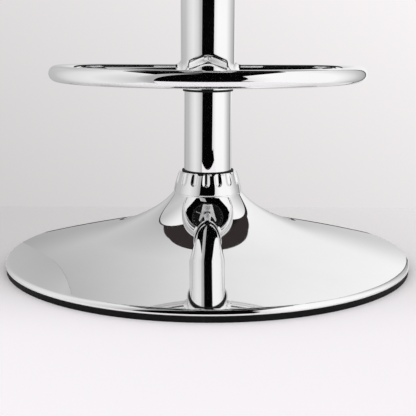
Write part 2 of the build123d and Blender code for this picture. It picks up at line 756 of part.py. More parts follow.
PIECES = [
    base_shell,
    base_edge_ring,
    base_brace,
    column_socket,
    column_collar,
    column_seal,
    lower_tube,
    tube_end_plate,
    guide_bush,
    lower_race,
    bearing_balls,
    bearing_cage,
    upper_race,
    rubber_bumper,
    clip_washer,
    retaining_clip,
    piston_rod,
    piston,
    pressure_tube,
    rod_guide,
    valve_button,
    upper_tube,
    upper_tube_bush,
    footrest_loop,
    footrest_welds,
    plate_socket,
    mechanism_housing,
    seat_plate,
    lever,
    lever_grip,
    lever_pin,
    seat_screws,
    screw_washers,
    tee_nuts,
    seat_board,
    dust_cover,
    seat_cushion,
    seat_piping,
]

os.makedirs("parts", exist_ok=True)
for piece in PIECES:
    made = piece()
    solids = made if isinstance(made, list) else [made]
    shape = Compound(children=solids) if len(solids) > 1 else solids[0]
    export_step(shape, f"parts/{piece.__name__}.step")
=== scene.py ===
import math

import bpy
from mathutils import Matrix, Vector, noise
from mathutils.bvhtree import BVHTree


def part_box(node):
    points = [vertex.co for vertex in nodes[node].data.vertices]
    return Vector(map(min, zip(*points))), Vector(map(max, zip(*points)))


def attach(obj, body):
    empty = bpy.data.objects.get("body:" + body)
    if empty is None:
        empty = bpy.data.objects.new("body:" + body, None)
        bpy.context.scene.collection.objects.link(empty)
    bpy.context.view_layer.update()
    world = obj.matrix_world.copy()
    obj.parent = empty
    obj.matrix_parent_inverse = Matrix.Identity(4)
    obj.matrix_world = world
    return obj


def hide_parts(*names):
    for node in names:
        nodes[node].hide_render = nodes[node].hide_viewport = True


# The bar stool's looks: a mirror-chrome base, column and footrest in a small light tent, and a
# padded black seat. Metres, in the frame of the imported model. The sizes of the chrome pieces repeat
# those of the solids.

# Camera, at the photo's viewing angle
FRAME_PIXELS = 416
FOCAL_PIXELS = 964
SENSOR_WIDTH = 36
CAMERA_DISTANCE = 0.994
CAMERA_HEIGHT = 0.2565
CAMERA_SIDE = 0.0004
CAMERA_PITCH = 11.3
CAMERA_ROLL = 0.2

# Light tent that the chrome mirrors: side walls that rise towards the back, and a back wall
TENT_LEFT = -0.28
TENT_RIGHT = 0.37
LEFT_FRONT = -0.35
RIGHT_FRONT = -0.78
TENT_BACK = 0.355
TENT_HEIGHT = 0.60
SIDE_END = 0.334
SIDE_RISE_START = 0.06
LEFT_HEIGHT = 0.59
LEFT_END_HEIGHT = 0.93
RIGHT_HEIGHT = 0.77
RIGHT_END_HEIGHT = 1.0
BACK_LEFT = -0.2865
BACK_RIGHT = 0.352
BACK_SHOULDER = 0.09
BACK_SHOULDER_DROP = 0.06
FOOT_LIGHT_RISE = (0.30, 0.42)
SIDE_LIGHT_RISE = (0.15, 0.70)
BACK_LIGHT_RISE = (0.02, 0.16)

# Front flaps of the tent: where the free edge starts at the floor, where it ends, and its height
LEFT_FLAP = (-0.19, -0.04, 1.1)
RIGHT_FLAP = (0.295, 0.37, 0.3)

# Room around the tent, dark in front and brown above the back wall
ROOM_DARK = 0.001
CEILING_BROWN = (0.034, 0.027, 0.027)
CEILING_EDGE = (0.36, 0.46)
SOFT_LIGHT = 1.0

# Floor inside the tent, and the pale backdrop behind it, each with painted shade: lighter on the right,
# the floor also darker towards the back and the backdrop darker lower down
FLOOR_FRONT = -0.62
FLOOR_BACK = 0.295
FLOOR_HALF_WIDTH = 1.0
FLOOR_FADE = (-0.26, 0.02)
FLOOR_FRONT_COLOUR = (0.985, 0.95, 0.985)
FLOOR_BACK_LEVELS = (0.635, 0.87)
BACKDROP_SIDE = 0.21
BACKDROP_RISE = (-0.19, 0.02)
BACKDROP_LOW_LEVELS = (0.63, 0.81)
BACKDROP_HIGH_LEVELS = (0.75, 0.95)
PALE_TINT = (1.0, 0.966, 0.974)

# Base
FIT = 0.00005
BASE_RADIUS = 0.210
BASE_HEIGHT = 0.0766
BASE_SHEET = 0.0015
NECK_RADIUS = 0.0358
NECK_ROUND = 0.0008
NECK_SLOPE = 53.8
NECK_REACH = 0.0258
CONE_SLOPE = 13.0
CONE_LENGTH = 0.0888
CONE_REACH = 0.0282
RIM_ROLL = 0.0045
RIM_LIP_ROUND = 0.0012
RIM_LIP = 0.011
RING_FOOT = 0.0057

# Collar
COLLAR_RADIUS = 0.0352
COLLAR_BAND = 0.0016
COLLAR_TOP_Z = 0.0982
COLLAR_SHOULDER_RADIUS = 0.0304
COLLAR_SHOULDER_DROP = 0.0016
COLLAR_BULGE = 0.0004
COLLAR_TOP_RADIUS = 0.0286
FLUTES = 16
FLUTE_RADIUS = 0.005
FLUTE_DEPTH = 0.0017
FLUTE_FOOT = 0.0113
FLUTE_TURN = -2.8
FLUTE_SOFTNESS = 0.0003
SEAL_RADIUS = 0.0268
SEAL_Z = 0.0962

# Tubes and footrest
LOWER_TUBE_RADIUS = 0.0246
LOWER_TUBE_WALL = 0.002
LOWER_TUBE_TAPER = 0.0008
UPPER_TUBE_RADIUS = 0.0281
UPPER_TUBE_WALL = 0.0015
FOOTREST_TUBE_RADIUS = 0.0076
FOOTREST_HALF_WIDTH = 0.146
FOOTREST_REACH = 0.213
FOOTREST_CORNER = 0.045
FOOTREST_FRONT_RADIUS = 0.125
FOOTREST_Z = 0.2002
FOOTREST_TILT = 1.5
FOOTREST_SINK = 0.001
WELD_LENGTH = 0.0055
WELD_THROAT = 0.0045
WELD_RIPPLES = 26
WELD_RIPPLE = 0.00012

# Seat
SEAT_FOOT_Z = 0.6122
SEAT_TOP_Z = 0.6902
SEAT_FOOT_RADIUS = 0.178
SEAT_FOOT_ROUND = 0.005
SEAT_BULGE_RADIUS = 0.186
SEAM_RADIUS = 0.180
SEAM_Z = 0.6682
HOLLOW_RADIUS = 0.1653
HOLLOW_TOP = 0.6245
PIPING_RADIUS = 0.0032
PIPING_UNEVENNESS = 0.03
PLIES = 7
CLOTH_STEP = 0.005
CLOTH_FRAMES = 20
CLOTH_PRESSURE = 4.0
CLOTH_SLACK = 0.004
CLOTH_REACH = 0.007
PUCKERS = 74
PUCKER_HEIGHT = 0.0006
PUCKER_REACH = 0.013
JOIN_DEPTH = 0.0022
JOIN_WIDTH = 0.0032
STITCH_PITCH = 0.0062
STITCH_LENGTH = 0.0044
STITCH_RADIUS = 0.00034
STITCH_ROW = 0.0085
CLEAR_OF_SEAT = 0.05
STAPLES = 30
STAPLE_ROW = 0.157
STAPLE_LENGTH = 0.0105
STAPLE_RADIUS = 0.0006
STAPLE_SKEW = 0.25

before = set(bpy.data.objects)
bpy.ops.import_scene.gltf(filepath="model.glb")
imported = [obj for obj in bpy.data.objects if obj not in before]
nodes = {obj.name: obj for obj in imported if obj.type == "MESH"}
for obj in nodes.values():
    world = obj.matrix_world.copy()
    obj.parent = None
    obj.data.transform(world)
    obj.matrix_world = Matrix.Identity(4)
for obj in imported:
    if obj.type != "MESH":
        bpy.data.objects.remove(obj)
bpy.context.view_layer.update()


def make_camera():
    camera = bpy.data.objects.new("camera", bpy.data.cameras.new("camera"))
    bpy.context.scene.collection.objects.link(camera)
    camera.data.sensor_width = SENSOR_WIDTH
    camera.data.lens = SENSOR_WIDTH * FOCAL_PIXELS / FRAME_PIXELS
    place = Matrix.Translation((CAMERA_SIDE, -CAMERA_DISTANCE, CAMERA_HEIGHT))
    tilt = Matrix.Rotation(math.radians(90 - CAMERA_PITCH), 4, "X")
    roll = Matrix.Rotation(math.radians(CAMERA_ROLL), 4, "Z")
    camera.matrix_world = place @ tilt @ roll
    bpy.context.scene.camera = camera


make_camera()


class Graph:
    """A short way to write a node tree: each call adds one node and returns one of its outputs."""

    def __init__(self, owner):
        owner.use_nodes = True
        self.tree = owner.node_tree
        self.tree.nodes.clear()

    def add(self, kind, inputs=None, output=0, **settings):
        node = self.tree.nodes.new(kind)
        for name, value in settings.items():
            setattr(node, name, value)
        for key, value in (inputs or {}).items():
            self.set(node.inputs[key], value)
        return node.outputs[output]

    def set(self, socket, value):
        if isinstance(value, bpy.types.NodeSocket):
            self.tree.links.new(value, socket)
        else:
            socket.default_value = value

    def finish(self, kind, surface):
        out = self.tree.nodes.new(kind)
        self.tree.links.new(surface, out.inputs["Surface"])

    def math(self, operation, first, second=0.0):
        return self.add("ShaderNodeMath", {0: first, 1: second}, operation=operation)

    def between(self, value, low, high, to_low=0.0, to_high=1.0, smooth=False):
        """value's place between low and high, as a number from to_low to to_high."""
        return self.add(
            "ShaderNodeMapRange",
            {"Value": value, "From Min": low, "From Max": high, "To Min": to_low, "To Max": to_high},
            interpolation_type="SMOOTHSTEP" if smooth else "LINEAR",
        )

    def mix(self, share, first, second):
        """A colour between two, by a share."""
        return self.add("ShaderNodeMix", {0: share, 6: first, 7: second}, output=2, data_type="RGBA")

    def ramp(self, value, stops):
        """A run of colours or grey levels along a value from 0 to 1."""
        output = self.add("ShaderNodeValToRGB", {0: value})
        elements = output.node.color_ramp.elements
        while len(elements) < len(stops):
            elements.new(1.0)
        for element, (place, colour) in zip(elements, stops):
            element.position = place
            element.color = rgba(colour)
        return output

    def place(self, scale=(1, 1, 1)):
        """A point's place on its object, in metres, stretched by a scale."""
        point = self.add("ShaderNodeTexCoord", output="Object")
        return self.add("ShaderNodeMapping", {"Vector": point, "Scale": scale})

    def noise(self, vector, scale, detail=3.0):
        return self.add("ShaderNodeTexNoise", {"Vector": vector, "Scale": scale, "Detail": detail})

    def bump(self, height, distance):
        return self.add("ShaderNodeBump", {"Height": height, "Distance": distance, "Strength": 1.0})


def rgba(colour):
    if isinstance(colour, tuple):
        return (*colour, 1)
    return (colour, colour, colour, 1)


def pale_shade_run(graph, value, levels):
    """The pale tint at two levels, from one end of a value to the other: a run of painted shade."""
    start, end = [tuple(level * part for part in PALE_TINT) for level in levels]
    return graph.ramp(value, [(0, start), (1, end)])


def new_material(name):
    material = bpy.data.materials.new(name)
    return material, Graph(material)


def make_world():
    """Even soft light, a pale backdrop for the camera with painted shade, and a dark room for mirrors to
    see.
    """
    world = bpy.data.worlds.new("studio")
    bpy.context.scene.world = world
    graph = Graph(world)
    way = graph.add("ShaderNodeTexCoord", output="Generated")
    parts = graph.add("ShaderNodeSeparateXYZ", {0: way}).node.outputs
    # Painted shade on the backdrop: darker on the left and lower down
    across = graph.between(parts["X"], -BACKDROP_SIDE, BACKDROP_SIDE)
    rise = graph.between(parts["Z"], *BACKDROP_RISE)
    low = pale_shade_run(graph, across, BACKDROP_LOW_LEVELS)
    high = pale_shade_run(graph, across, BACKDROP_HIGH_LEVELS)
    backdrop = graph.mix(rise, low, high)
    backwards = graph.between(parts["Y"], *CEILING_EDGE, smooth=True)
    room = graph.mix(backwards, rgba(ROOM_DARK), rgba(CEILING_BROWN))
    rays = graph.add("ShaderNodeLightPath").node.outputs
    unseen = graph.mix(rays["Is Glossy Ray"], rgba(SOFT_LIGHT), room)
    shown = graph.mix(rays["Is Camera Ray"], unseen, backdrop)
    background = graph.add("ShaderNodeBackground", {"Color": shown, "Strength": 1.0})
    graph.finish("ShaderNodeOutputWorld", background)


def mesh_object(name, points, faces, sharp=None):
    """A smooth-shaded mesh, with edges that bend more than sharp degrees kept crisp."""
    mesh = bpy.data.meshes.new(name)
    mesh.from_pydata(points, [], faces)
    mesh.polygons.foreach_set("use_smooth", [True] * len(mesh.polygons))
    if sharp:
        mesh.set_sharp_from_angle(angle=math.radians(sharp))
    mesh.update()
    made = bpy.data.objects.new(name, mesh)
    bpy.context.scene.collection.objects.link(made)
    return made


def make_floor():
    points = [
        (-FLOOR_HALF_WIDTH, FLOOR_FRONT, 0),
        (FLOOR_HALF_WIDTH, FLOOR_FRONT, 0),
        (FLOOR_HALF_WIDTH, FLOOR_BACK, 0),
        (-FLOOR_HALF_WIDTH, FLOOR_BACK, 0),
    ]
    floor = mesh_object("floor", points, [(0, 1, 2, 3)])
    material, graph = new_material("studio_floor")
    point = graph.add("ShaderNodeNewGeometry", output="Position")
    parts = graph.add("ShaderNodeSeparateXYZ", {0: point}).node.outputs
    # Painted shade on the floor: darker on the left and towards the back
    across = graph.between(parts["X"], TENT_LEFT, TENT_RIGHT)
    back = pale_shade_run(graph, across, FLOOR_BACK_LEVELS)
    depth = graph.between(parts["Y"], *FLOOR_FADE, smooth=True)
    white = graph.mix(depth, rgba(FLOOR_FRONT_COLOUR), back)
    diffuse = graph.add("ShaderNodeBsdfDiffuse", {"Color": white})
    graph.finish("ShaderNodeOutputMaterial", diffuse)
    floor.data.materials.append(material)


def along(graph, value, levels):
    """Grey levels at places along a value."""
    start = levels[0][0]
    end = levels[-1][0]
    stops = [((place - start) / (end - start), level) for place, level in levels]
    return graph.ramp(graph.between(value, start, end), stops)


def tent_panel(name, corners, axis, runs, rises=()):
    """A glowing wall that only mirrors see. Its runs of light blend, one into the next, as it rises."""
    panel = mesh_object(name, corners, [tuple(range(len(corners)))])
    panel.visible_camera = False
    panel.visible_diffuse = False
    panel.visible_shadow = False
    material, graph = new_material(name + "_light")
    material.cycles.emission_sampling = "NONE"
    point = graph.add("ShaderNodeNewGeometry", output="Position")
    parts = graph.add("ShaderNodeSeparateXYZ", {0: point}).node.outputs
    light = along(graph, parts[axis], runs[0])
    for run, rise in zip(runs[1:], rises):
        risen = graph.between(parts["Z"], *rise, smooth=True)
        light = graph.mix(risen, light, along(graph, parts[axis], run))
    glow = graph.add("ShaderNodeEmission", {"Color": light, "Strength": 1.0})
    graph.finish("ShaderNodeOutputMaterial", glow)
    panel.data.materials.append(material)


def side_wall(x, front, height, end_height):
    """Corners of a side wall, level at the front and rising to its back end."""
    return [
        (x, front, 0),
        (x, SIDE_END, 0),
        (x, SIDE_END, end_height),
        (x, SIDE_RISE_START, height),
        (x, front, height),
    ]


def back_wall():
    """Corners of the back wall, lower at both ends of its top."""
    low = TENT_HEIGHT - BACK_SHOULDER_DROP
    return [
        (BACK_LEFT, TENT_BACK, 0),
        (BACK_RIGHT, TENT_BACK, 0),
        (BACK_RIGHT, TENT_BACK, low),
        (BACK_RIGHT - BACK_SHOULDER, TENT_BACK, TENT_HEIGHT),
        (BACK_LEFT + BACK_SHOULDER, TENT_BACK, TENT_HEIGHT),
        (BACK_LEFT, TENT_BACK, low),
    ]


def front_flap(side, front, flap):
    """Corners of one half of the front, from a side wall to a slanting edge."""
    foot, top, height = flap
    return [
        (side, front, 0),
        (foot, front, 0),
        (top, front, height),
        (side, front, height),
    ]


def make_tent():
    """The tent's walls, with their levels of light at places along them."""
    left_runs = [
        ((LEFT_FRONT, 0.66), (-0.15, 0.86), (-0.06, 0.77), (0.06, 0.54), (SIDE_END, 0.47)),
        ((LEFT_FRONT, 0.66), (-0.15, 0.86), (-0.06, 0.77), (0.06, 0.44), (SIDE_END, 0.22)),
        ((LEFT_FRONT, 0.90), (SIDE_END, 0.95)),
    ]
    left = side_wall(TENT_LEFT, LEFT_FRONT, LEFT_HEIGHT, LEFT_END_HEIGHT)
    tent_panel("tent_left", left, "Y", left_runs, (FOOT_LIGHT_RISE, SIDE_LIGHT_RISE))
    left_flap = front_flap(TENT_LEFT, LEFT_FRONT, LEFT_FLAP)
    tent_panel("tent_left_flap", left_flap, "X", [((TENT_LEFT, 0.66), (LEFT_FLAP[0], 0.45))])
    right_runs = [
        (
            (RIGHT_FRONT, 0.82),
            (-0.45, 1.03),
            (-0.08, 1.02),
            (0.0, 0.86),
            (0.12, 0.58),
            (SIDE_END, 0.33),
        ),
        ((RIGHT_FRONT, 0.85), (-0.45, 1.05), (SIDE_END, 1.0)),
    ]
    right = side_wall(TENT_RIGHT, RIGHT_FRONT, RIGHT_HEIGHT, RIGHT_END_HEIGHT)
    tent_panel("tent_right", right, "Y", right_runs, (SIDE_LIGHT_RISE,))
    # The right flap's free edge ends at the wall, so it has three corners
    right_flap = front_flap(TENT_RIGHT, RIGHT_FRONT, RIGHT_FLAP)[:3]
    tent_panel("tent_right_flap", right_flap, "X", [((RIGHT_FLAP[0], 0.80), (TENT_RIGHT, 0.82))])
    back_runs = [
        ((BACK_LEFT, 0.40), (0.0, 0.50), (BACK_RIGHT, 0.70)),
        ((BACK_LEFT, 0.50), (-0.09, 0.71), (0.09, 0.84), (BACK_RIGHT, 0.97)),
    ]
    tent_panel("tent_back", back_wall(), "X", back_runs, (BACK_LIGHT_RISE,))


make_world()
make_floor()
make_tent()


def shaded(graph, inputs, height=None, depth=0.0):
    """Ends a material with one shader, with relief from a height that stands for depth metres."""
    if height:
        inputs["Normal"] = graph.bump(height, depth)
    shader = graph.add("ShaderNodeBsdfPrincipled", inputs)
    graph.finish("ShaderNodeOutputMaterial", shader)


def chrome():
    material, graph = new_material("mirror_chrome")
    smudge = graph.noise(graph.place(), 14.0, 4.0)
    inputs = {
        "Base Color": graph.ramp(smudge, [(0.3, 0.90), (0.7, 0.93)]),
        "Metallic": 1.0,
        "Roughness": graph.between(smudge, 0.35, 0.75, 0.015, 0.045),
    }
    shaded(graph, inputs)
    return material


def rubber():
    material, graph = new_material("matt_rubber")
    place = graph.place()
    patches = graph.noise(place, 25.0)
    grain = graph.noise(place, 900.0, 4.0)
    inputs = {
        "Base Color": graph.ramp(patches, [(0.3, 0.003), (0.7, 0.007)]),
        "Roughness": graph.between(grain, 0.3, 0.7, 0.55, 0.8),
        "Specular IOR Level": 0.15,
    }
    shaded(graph, inputs, grain, 0.00008)
    return material


def moulded_plastic(name, dark, light, roughness, shine):
    """Plastic with the fine grain of its mould."""
    material, graph = new_material(name)
    place = graph.place()
    patches = graph.noise(place, 40.0)
    grain = graph.noise(place, 1600.0, 2.0)
    inputs = {
        "Base Color": graph.ramp(patches, [(0.3, dark), (0.7, light)]),
        "Roughness": graph.between(grain, 0.3, 0.7, roughness - 0.08, roughness + 0.08),
        "Specular IOR Level": shine,
    }
    shaded(graph, inputs, grain, 0.00004)
    return material


def powder_coat():
    """Black paint with an orange-peel skin."""
    material, graph = new_material("powder_coat")
    place = graph.place()
    peel = graph.noise(place, 420.0, 2.0)
    dust = graph.noise(place, 30.0, 5.0)
    inputs = {
        "Base Color": graph.ramp(dust, [(0.35, 0.012), (0.8, 0.026)]),
        "Roughness": graph.between(dust, 0.3, 0.7, 0.34, 0.5),
    }
    shaded(graph, inputs, peel, 0.00008)
    return material


def zinc_steel():
    """Bright plated steel with draw lines and duller patches."""
    material, graph = new_material("zinc_steel")
    lines = graph.noise(graph.place((60, 60, 1400)), 1.0, 4.0)
    patches = graph.noise(graph.place(), 120.0)
    inputs = {
        "Base Color": graph.ramp(patches, [(0.3, (0.70, 0.71, 0.74)), (0.7, (0.84, 0.84, 0.83))]),
        "Metallic": 1.0,
        "Roughness": graph.between(lines, 0.3, 0.7, 0.14, 0.3),
    }
    shaded(graph, inputs, lines, 0.00002)
    return material


def turned_aluminium():
    """Aluminium with the fine rings of a lathe tool."""
    material, graph = new_material("turned_aluminium")
    rings = graph.noise(graph.place((25, 25, 2600)), 1.0, 2.0)
    inputs = {
        "Base Color": graph.ramp(rings, [(0.3, (0.66, 0.66, 0.67)), (0.7, (0.78, 0.78, 0.79))]),
        "Metallic": 1.0,
        "Roughness": graph.between(rings, 0.3, 0.7, 0.22, 0.36),
    }
    shaded(graph, inputs, rings, 0.00002)
    return material


def plywood():
    """Plies with their grain along and across by turns, the crosswise ones darker."""
    material, graph = new_material("birch_ply")
    height = graph.add("ShaderNodeSeparateXYZ", {0: graph.place()}, output="Z")
    plies = graph.between(height, SEAT_FOOT_Z, HOLLOW_TOP, 0, PLIES)
    pair = graph.math("FRACT", graph.math("MULTIPLY", plies, 0.5))
    crosswise = graph.math("GREATER_THAN", pair, 0.5)
    long_grain = graph.noise(graph.place((14, 260, 260)), 1.0, 5.0)
    cross_grain = graph.noise(graph.place((260, 14, 260)), 1.0, 5.0)
    grain = graph.mix(crosswise, long_grain, cross_grain)
    pale = graph.ramp(grain, [(0.3, (0.40, 0.25, 0.13)), (0.7, (0.62, 0.45, 0.27))])
    dark = graph.ramp(grain, [(0.3, (0.30, 0.18, 0.09)), (0.7, (0.48, 0.32, 0.18))])
    inputs = {
        "Base Color": graph.mix(crosswise, pale, dark),
        "Roughness": graph.between(grain, 0.3, 0.7, 0.55, 0.75),
    }
    shaded(graph, inputs, grain, 0.0001)
    return material


def lining():
    """Non-woven cloth: pressed dots in a felt of fibres."""
    material, graph = new_material("felted_lining")
    place = graph.place()
    dots = graph.add("ShaderNodeTexVoronoi", {"Vector": place, "Scale": 420.0, "Randomness": 0.25})
    fibres = graph.noise(place, 1300.0, 5.0)
    relief = graph.math("ADD", graph.between(dots, 0.1, 0.4), fibres)
    inputs = {
        "Base Color": graph.ramp(fibres, [(0.3, 0.003), (0.7, 0.008)]),
        "Roughness": 0.92,
        "Specular IOR Level": 0.1,
    }
    shaded(graph, inputs, relief, 0.00015)
    return material


def leatherette():
    """Soft black coated cloth with a fine pebble grain and painted shade in the grain's creases,
    slightly polished where it is sat on.
    """
    material, graph = new_material("pebbled_leatherette")
    place = graph.place()
    wander = graph.noise(place, 160.0, 2.0)
    shift = graph.add("ShaderNodeVectorMath", {0: wander, "Scale": 0.0022}, operation="SCALE")
    bent = graph.add("ShaderNodeVectorMath", {0: place, 1: shift}, operation="ADD")
    pattern = {"Vector": bent, "Scale": 560.0}
    cells = graph.add("ShaderNodeTexVoronoi", pattern, feature="DISTANCE_TO_EDGE")
    pebbles_and_crease_shade = graph.between(cells, 0.0, 0.32, smooth=True)
    pores = graph.noise(place, 2200.0, 2.0)
    relief = graph.math("ADD", pebbles_and_crease_shade, graph.math("MULTIPLY", pores, 0.2))
    wear = graph.noise(place, 22.0, 4.0)
    worn = graph.ramp(wear, [(0.35, (0.0135, 0.013, 0.013)), (0.75, (0.024, 0.023, 0.0225))])
    inputs = {
        # Painted shade: the creases between the pebbles are near black
        "Base Color": graph.mix(pebbles_and_crease_shade, rgba((0.006, 0.006, 0.006)), worn),
        "Roughness": graph.between(wear, 0.3, 0.7, 0.34, 0.5),
        "Specular IOR Level": 0.4,
    }
    shaded(graph, inputs, relief, 0.00022)
    return material


def thread():
    """Twisted sewing thread."""
    material, graph = new_material("sewing_thread")
    twist = graph.noise(graph.place((3000, 3000, 900)), 1.0, 2.0)
    inputs = {
        "Base Color": graph.ramp(twist, [(0.3, 0.016), (0.7, 0.05)]),
        "Roughness": 0.7,
        "Sheen Weight": 0.2,
    }
    shaded(graph, inputs, twist, 0.00008)
    return material


MATERIALS = {
    "chrome": chrome(),
    "black_rubber": rubber(),
    "black_plastic": moulded_plastic("black_moulding", 0.004, 0.008, 0.45, 0.2),
    "white_plastic": moulded_plastic("white_moulding", (0.62, 0.62, 0.57), (0.70, 0.70, 0.66), 0.5, 0.5),
    "black_steel": powder_coat(),
    "bare_steel": zinc_steel(),
    "aluminium": turned_aluminium(),
    "plywood": plywood(),
    "lining_cloth": lining(),
    "black_leatherette": leatherette(),
}
for node in nodes.values():
    for index, material in enumerate(node.data.materials):
        node.data.materials[index] = MATERIALS[material.name.split(".")[0]]


def dress(piece, slot, body, node=None, look=None):
    """Gives a piece its material and its place in the assembly, and lets it stand for a solid."""
    piece.data.materials.append(look or MATERIALS[slot])
    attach(piece, body)
    if node:
        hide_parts(node)


def tangent_arc(start, way, end, steps):
    """Points of the arc that leaves start along way and reaches end, without its first point."""
    start = Vector(start)
    way = Vector(way).normalized()
    side = Vector((-way.y, way.x))
    chord = Vector(end) - start
    centre = start + side * chord.length_squared / (2 * chord.dot(side))
    turn = 2 * math.atan2(chord.dot(side), chord.dot(way))
    turns = [Matrix.Rotation(turn * step / steps, 2) for step in range(1, steps + 1)]
    return [centre + rotation @ (start - centre) for rotation in turns]


def bezier(a, b, c, d, steps):
    """Points of a cubic curve, both ends among them."""
    points = []
    for step in range(steps + 1):
        t = step / steps
        s = 1 - t
        points.append(a * s**3 + b * (3 * s * s * t) + c * (3 * s * t * t) + d * t**3)
    return points


def lathe(name, profile, segments, sharp=30):
    """A ring-shaped body: a closed outline of radius and height, turned about the column's axis."""
    points = []
    for segment in range(segments):
        angle = 2 * math.pi * segment / segments
        points += [(r * math.sin(angle), -r * math.cos(angle), z) for r, z in profile]
    return mesh_object(name, points, ring_faces(segments, len(profile)), sharp)


def ring_faces(rings, count):
    """Quads between rings of count points each, closed both ways."""
    faces = []
    for ring in range(rings):
        here = ring * count
        there = (ring + 1) % rings * count
        for index in range(count):
            following = (index + 1) % count
            faces.append((here + index, there + index, there + following, here + following))
    return faces


def downward(angle):
    """A unit step outwards and down, at an angle below level."""
    return Vector((math.cos(math.radians(angle)), -math.sin(math.radians(angle))))


def trumpet(inset, steps):
    """The base's flare from the neck and its cone down to the rim's roll, set inwards by an inset."""
    neck_way = downward(NECK_SLOPE)
    cone_way = downward(CONE_SLOPE)
    neck = Vector((NECK_RADIUS, BASE_HEIGHT - NECK_ROUND)) + Vector((neck_way.y, -neck_way.x)) * inset
    cone_end = Vector((BASE_RADIUS - RIM_ROLL, RING_FOOT + RIM_LIP_ROUND))
    cone_end += Vector((-cone_way.y, cone_way.x)) * (RIM_ROLL - inset)
    cone_top = cone_end - cone_way * CONE_LENGTH
    flare = bezier(neck, neck + neck_way * NECK_REACH, cone_top - cone_way * CONE_REACH, cone_top, steps)
    return flare + [cone_top.lerp(cone_end, step / steps) for step in range(1, steps + 1)]


def base_shell():
    hole = LOWER_TUBE_RADIUS + FIT
    outer = trumpet(0, 80)
    inner = trumpet(BASE_SHEET, 24)
    neck_corner = Vector((NECK_RADIUS - NECK_ROUND, BASE_HEIGHT))
    rim_side = Vector((BASE_RADIUS, RING_FOOT + RIM_LIP_ROUND))
    lip_outer = Vector((BASE_RADIUS - RIM_LIP_ROUND, RING_FOOT))
    lip_end = BASE_RADIUS - RIM_LIP
    lip_top = RING_FOOT + BASE_SHEET
    under_neck = BASE_HEIGHT - BASE_SHEET
    profile = [Vector((hole, under_neck)), Vector((hole, BASE_HEIGHT)), neck_corner]
    profile += tangent_arc(neck_corner, (1, 0), outer[0], 6)
    profile += outer[1:]
    profile += tangent_arc(outer[-1], downward(CONE_SLOPE), rim_side, 14)
    profile += tangent_arc(rim_side, (0, -1), lip_outer, 6)
    profile += [Vector((lip_end, RING_FOOT)), Vector((lip_end, lip_top))]
    profile += [Vector((BASE_RADIUS - RIM_ROLL, lip_top))]
    profile += inner[::-1]
    profile += [Vector((inner[0].x, under_neck))]
    piece = lathe("chrome_base", profile[::-1], 360)
    dress(piece, "chrome", "base", "base_shell")


def lower_tube():
    low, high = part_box("lower_tube")
    wall = LOWER_TUBE_WALL
    taper = LOWER_TUBE_TAPER
    profile = [
        (LOWER_TUBE_RADIUS - taper - wall, low[2]),
        (LOWER_TUBE_RADIUS - taper, low[2]),
        (LOWER_TUBE_RADIUS, BASE_HEIGHT),
        (LOWER_TUBE_RADIUS, high[2]),
        (LOWER_TUBE_RADIUS - wall, high[2]),
        (LOWER_TUBE_RADIUS - wall, BASE_HEIGHT),
    ]
    piece = lathe("chrome_lower_tube", profile, 240)
    dress(piece, "chrome", "base", "lower_tube")


def upper_tube():
    low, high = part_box("upper_tube")
    wall = UPPER_TUBE_WALL
    profile = [
        (UPPER_TUBE_RADIUS - wall, low[2]),
        (UPPER_TUBE_RADIUS, low[2]),
        (UPPER_TUBE_RADIUS, high[2]),
        (UPPER_TUBE_RADIUS - wall, high[2]),
    ]
    piece = lathe("chrome_upper_tube", profile, 240)
    dress(piece, "chrome", "upper", "upper_tube")


def soft_minimum(first, second, softness):
    """The smaller of two numbers, rounded over where they are close."""
    near = max(softness - abs(first - second), 0) / softness
    return min(first, second) - near * near * softness / 4


def column_collar():
    hole = LOWER_TUBE_RADIUS + FIT
    recess = SEAL_RADIUS + FIT
    band = Vector((COLLAR_RADIUS, BASE_HEIGHT + COLLAR_BAND))
    shoulder = Vector((COLLAR_SHOULDER_RADIUS, COLLAR_TOP_Z - COLLAR_SHOULDER_DROP))
    side_way = (shoulder - band).normalized()
    outwards = Vector((side_way.y, -side_way.x))
    side_length = (shoulder - band).length
    side_steps = 60
    profile = [Vector((recess, SEAL_Z)), Vector((hole, SEAL_Z)), Vector((hole, BASE_HEIGHT))]
    profile += [Vector((COLLAR_RADIUS, BASE_HEIGHT))]
    for step in range(side_steps + 1):
        share = step / side_steps
        bulge = COLLAR_BULGE * 4 * share * (1 - share)
        profile.append(band + side_way * side_length * share + outwards * bulge)
    top_edge = Vector((COLLAR_TOP_RADIUS, COLLAR_TOP_Z))
    profile += [shoulder.lerp(top_edge, step / 8) for step in range(1, 9)]
    profile += [Vector((recess, COLLAR_TOP_Z))]
    axis_out = COLLAR_BULGE + FLUTE_RADIUS - FLUTE_DEPTH
    pitch = 2 * math.pi / FLUTES
    segments = FLUTES * 40
    points = []
    for segment in range(segments):
        angle = 2 * math.pi * segment / segments
        from_flute = (angle - math.radians(FLUTE_TURN) + pitch / 2) % pitch - pitch / 2
        for point in profile:
            up_side = (point - band).dot(side_way)
            out = (point - band).dot(outwards)
            sideways = point.x * math.sin(from_flute)
            below = min(up_side - FLUTE_FOOT, 0)
            room = FLUTE_RADIUS**2 - sideways**2 - below**2
            if room > 0 and point.x > recess + FIT:
                out_limit = axis_out - math.sqrt(room)
                point = point + outwards * (soft_minimum(out, out_limit, FLUTE_SOFTNESS) - out)
            points.append((point.x * math.sin(angle), -point.x * math.cos(angle), point.y))
    piece = mesh_object("chrome_collar", points, ring_faces(segments, len(profile)), 40)
    dress(piece, "chrome", "base", "column_collar")


